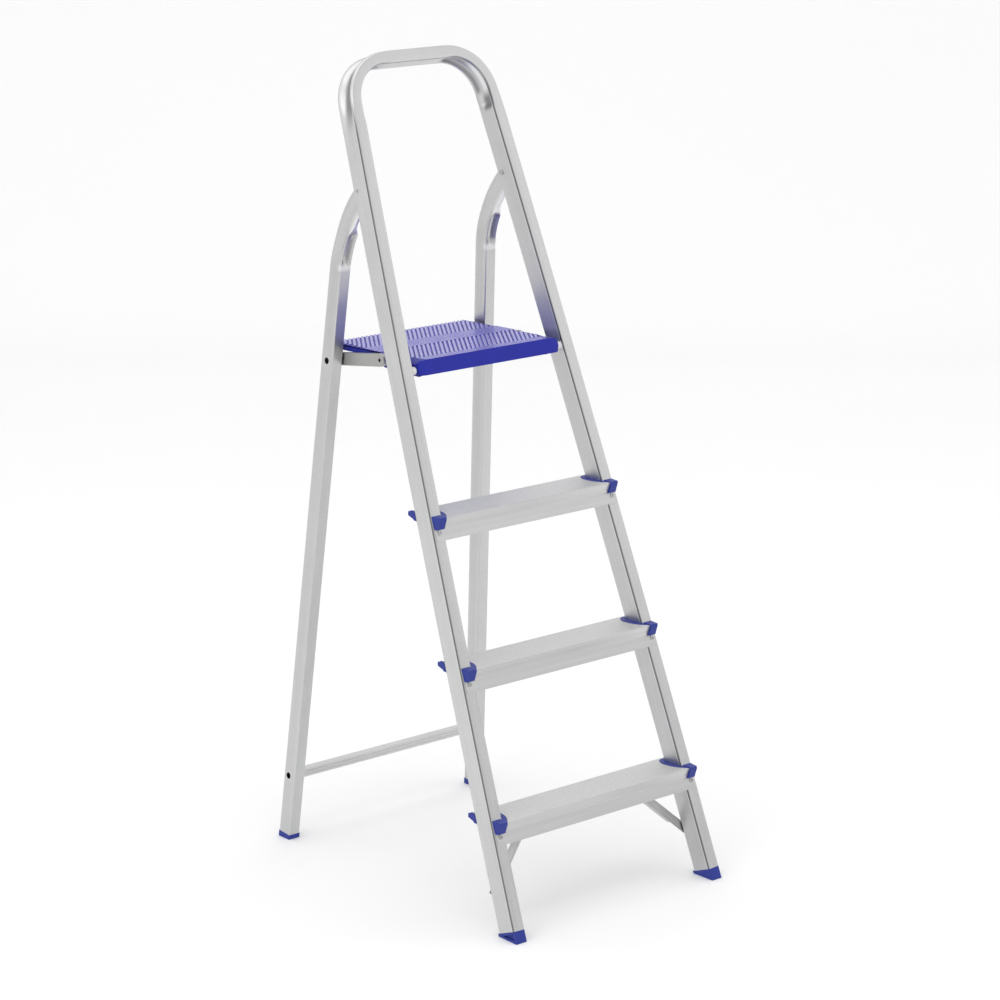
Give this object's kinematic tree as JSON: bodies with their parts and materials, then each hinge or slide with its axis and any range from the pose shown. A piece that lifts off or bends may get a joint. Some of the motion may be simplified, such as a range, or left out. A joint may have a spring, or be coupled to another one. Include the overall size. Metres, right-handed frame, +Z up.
{
  "type": "platform step ladder",
  "caption": "Folding aluminium step ladder with a bent hoop handrail, ribbed treads, a blue plastic platform, hinged rear legs and blue caps and feet.",
  "frame": {"origin": "on the floor under the middle of the open ladder's bounding box", "axes": "+X to the right of a user climbing up, +Y rearward from the treads to the rear legs, +Z up"},
  "size_m": [0.4484, 0.6372, 1.3451],
  "materials": {
    "satin_aluminium": "satin",
    "ribbed_aluminium": "satin",
    "zinc_steel": "satin",
    "blue_plastic": "matte",
    "blue_deck_plastic": "semi-gloss",
    "white_plastic": "matte",
    "dark_plastic": "matte"
  },
  "bodies": {
    "front_frame": {"hoop_frame": "satin_aluminium", "tread_lower": "ribbed_aluminium", "tread_middle": "ribbed_aluminium", "tread_upper": "ribbed_aluminium", "tread_cap_lower_left": "blue_plastic", "tread_cap_lower_right": "blue_plastic", "tread_cap_middle_left": "blue_plastic", "tread_cap_middle_right": "blue_plastic", "tread_cap_upper_left": "blue_plastic", "tread_cap_upper_right": "blue_plastic", "tread_front_rivets": "zinc_steel", "tread_rear_rivets": "zinc_steel", "front_shoe_left": "blue_plastic", "front_shoe_right": "blue_plastic", "brace_left": "satin_aluminium", "brace_right": "satin_aluminium", "brace_rivets": "zinc_steel", "platform_axle": "zinc_steel", "axle_bush_left": "white_plastic", "axle_bush_right": "white_plastic", "leg_pivot_rivets": "zinc_steel"},
    "rear_frame": {"rear_leg_left": "satin_aluminium", "rear_leg_right": "satin_aluminium", "rear_foot_left": "blue_plastic", "rear_foot_right": "blue_plastic", "rear_crossbar": "satin_aluminium", "crossbar_screws": "zinc_steel", "link_pins": "zinc_steel", "link_washers": "dark_plastic"},
    "platform": {"platform": "blue_deck_plastic", "platform_studs": "zinc_steel"},
    "link_bars": {"link_bar_left": "satin_aluminium", "link_bar_right": "satin_aluminium", "link_studs": "zinc_steel"}
  },
  "joints": [
    {"name": "rear_fold", "type": "hinge", "parent": "front_frame", "child": "rear_frame", "pos_m": [0, 0.14993, 1.1323], "axis": [-1, 0, 0], "range_deg": [0, 24.5]},
    {"name": "platform_hinge", "type": "hinge", "parent": "front_frame", "child": "platform", "pos_m": [0, 0.02193, 0.857], "axis": [1, 0, 0], "range_deg": [0, 70]},
    {"name": "link_hinge", "type": "hinge", "parent": "rear_frame", "child": "link_bars", "pos_m": [0, 0.22193, 0.844], "axis": [-1, 0, 0], "range_deg": [0, 33.5]}
  ],
  "couplings": [
    {"joint": "platform_hinge", "follows": "rear_fold", "ratio": 2.855},
    {"joint": "link_hinge", "follows": "rear_fold", "ratio": 1.3626}
  ]
}
